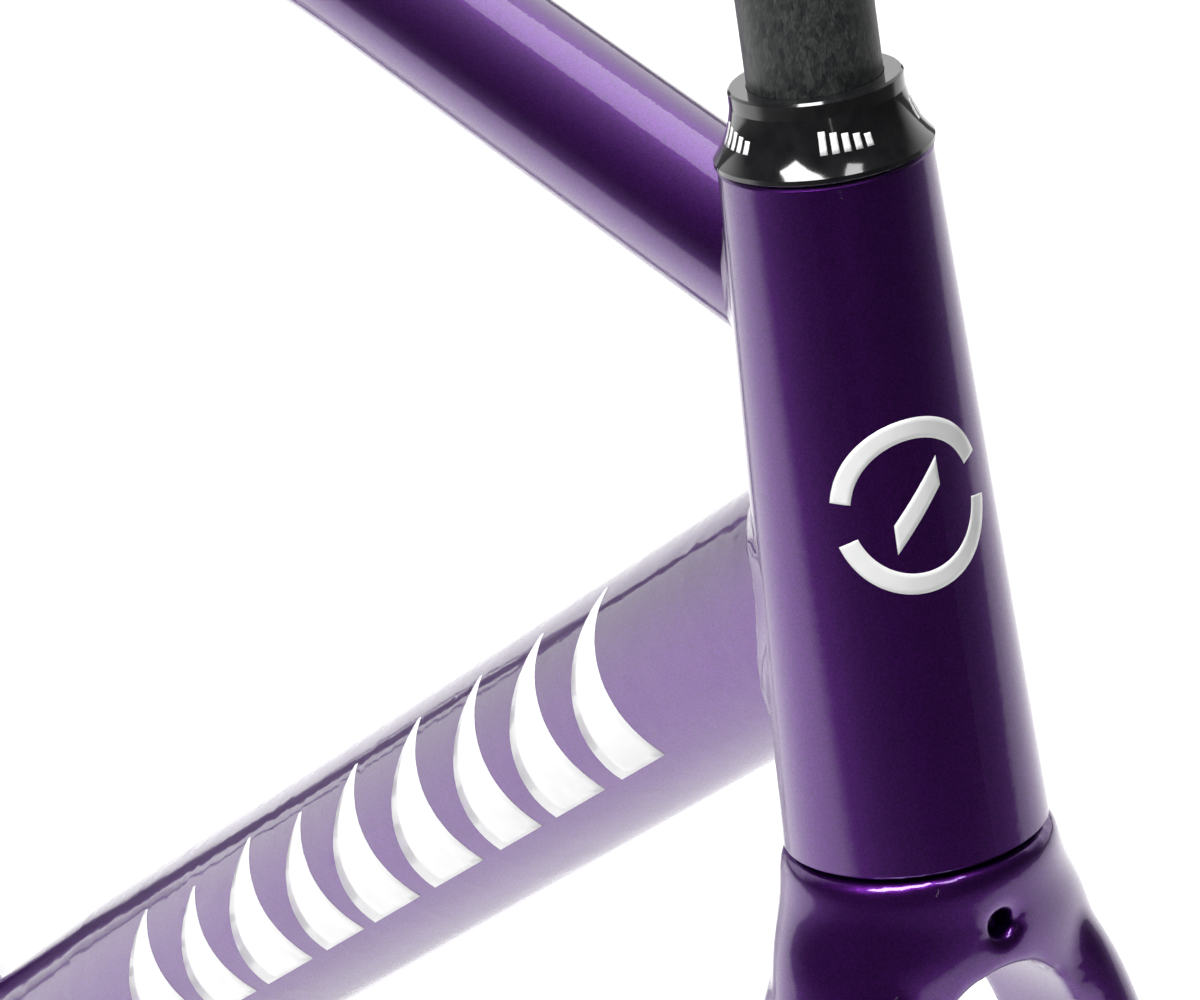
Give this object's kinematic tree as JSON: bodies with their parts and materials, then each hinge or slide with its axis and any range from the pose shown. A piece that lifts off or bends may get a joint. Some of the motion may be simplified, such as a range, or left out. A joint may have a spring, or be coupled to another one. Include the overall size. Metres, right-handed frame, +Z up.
{
  "type": "bmx bike frameset",
  "caption": "BMX race frameset with a bent top tube, tapered head tube, integrated headset, carbon fork and sliding rear axle blocks.",
  "frame": {"origin": "centre of the bottom bracket shell", "axes": "+X forward towards the fork, +Y to the bike's left along the bottom bracket, +Z up"},
  "size_m": [1.0235, 0.1344, 0.6164],
  "materials": {
    "frame_paint": "deep purple metallic gloss paint over welded aluminium alloy",
    "fork_paint": "deep purple metallic gloss paint over carbon fibre",
    "carbon": "bare carbon fibre, semi-matt with fine chopped fibre grain",
    "black_anodised": "gloss black anodised alloy",
    "fork_end_alloy": "satin dark anodised alloy",
    "fastener_steel": "zinc-plated and black steel",
    "compression_alloy": "plain alloy",
    "bearing_steel": "ground bearing steel",
    "cage_plastic": "moulded nylon",
    "seal_rubber": "black nitrile rubber"
  },
  "bodies": {
    "frame": {"head_tube": "frame_paint", "top_tube": "frame_paint", "down_tube": "frame_paint", "seat_tube": "frame_paint", "bb_shell": "frame_paint", "chainstay_left": "frame_paint", "chainstay_right": "frame_paint", "chainstay_bridge": "frame_paint", "seatstay_left": "frame_paint", "seatstay_right": "frame_paint", "seatstay_bridge": "frame_paint", "dropout_left": "frame_paint", "dropout_right": "frame_paint", "brake_boss_left": "frame_paint", "brake_boss_right": "frame_paint", "seat_clamp": "black_anodised", "seat_clamp_bolt": "fastener_steel", "seat_clamp_nut": "fastener_steel", "upper_bearing_outer": "bearing_steel", "lower_bearing_outer": "bearing_steel"},
    "fork": {"fork_steerer": "carbon", "fork_crown": "fork_paint", "fork_leg_left": "fork_paint", "fork_leg_right": "fork_paint", "fork_dropout_left": "fork_end_alloy", "fork_dropout_right": "fork_end_alloy", "fork_pinch_bolts": "fastener_steel", "crown_race": "fastener_steel", "lower_seal": "seal_rubber", "headset_cover": "black_anodised", "cover_seal": "seal_rubber", "compression_ring": "compression_alloy", "upper_bearing_inner": "bearing_steel", "lower_bearing_inner": "bearing_steel"},
    "upper_ball_cage": {"upper_bearing_balls": "bearing_steel", "upper_bearing_cage": "cage_plastic"},
    "lower_ball_cage": {"lower_bearing_balls": "bearing_steel", "lower_bearing_cage": "cage_plastic"},
    "axle_block_left": {"axle_block_left": "black_anodised", "adjuster_stud_left": "fastener_steel"},
    "adjuster_nut_left": {"adjuster_nut_left": "fastener_steel"},
    "axle_block_right": {"axle_block_right": "black_anodised", "adjuster_stud_right": "fastener_steel"},
    "adjuster_nut_right": {"adjuster_nut_right": "fastener_steel"}
  },
  "joints": [
    {"name": "steering", "type": "hinge", "parent": "frame", "child": "fork", "pos_m": [0.41624, 0, 0.44249], "axis": [-0.2756, 0, 0.9613], "continuous": true},
    {"name": "upper_cage_spin", "type": "hinge", "parent": "frame", "child": "upper_ball_cage", "pos_m": [0.39665, 0, 0.51079], "axis": [-0.2756, 0, 0.9613], "continuous": true},
    {"name": "lower_cage_spin", "type": "hinge", "parent": "frame", "child": "lower_ball_cage", "pos_m": [0.43579, 0, 0.37429], "axis": [-0.2756, 0, 0.9613], "continuous": true},
    {"name": "axle_adjust_left", "type": "slide", "parent": "frame", "child": "axle_block_left", "axis": [-1, 0, 0], "range_m": [0, 0.012]},
    {"name": "nut_turn_left", "type": "hinge", "parent": "frame", "child": "adjuster_nut_left", "pos_m": [-0.4242, 0.0585, 0], "axis": [-1, 0, 0], "range_deg": [0, 5400]},
    {"name": "axle_adjust_right", "type": "slide", "parent": "frame", "child": "axle_block_right", "axis": [-1, 0, 0], "range_m": [0, 0.012]},
    {"name": "nut_turn_right", "type": "hinge", "parent": "frame", "child": "adjuster_nut_right", "pos_m": [-0.4242, -0.0585, 0], "axis": [-1, 0, 0], "range_deg": [0, 5400]}
  ],
  "couplings": [
    {"joint": "upper_cage_spin", "follows": "steering", "ratio": 0.47},
    {"joint": "lower_cage_spin", "follows": "steering", "ratio": 0.47},
    {"joint": "nut_turn_left", "follows": "axle_adjust_left", "rad_per_m": 7854},
    {"joint": "nut_turn_right", "follows": "axle_adjust_right", "rad_per_m": 7854}
  ]
}
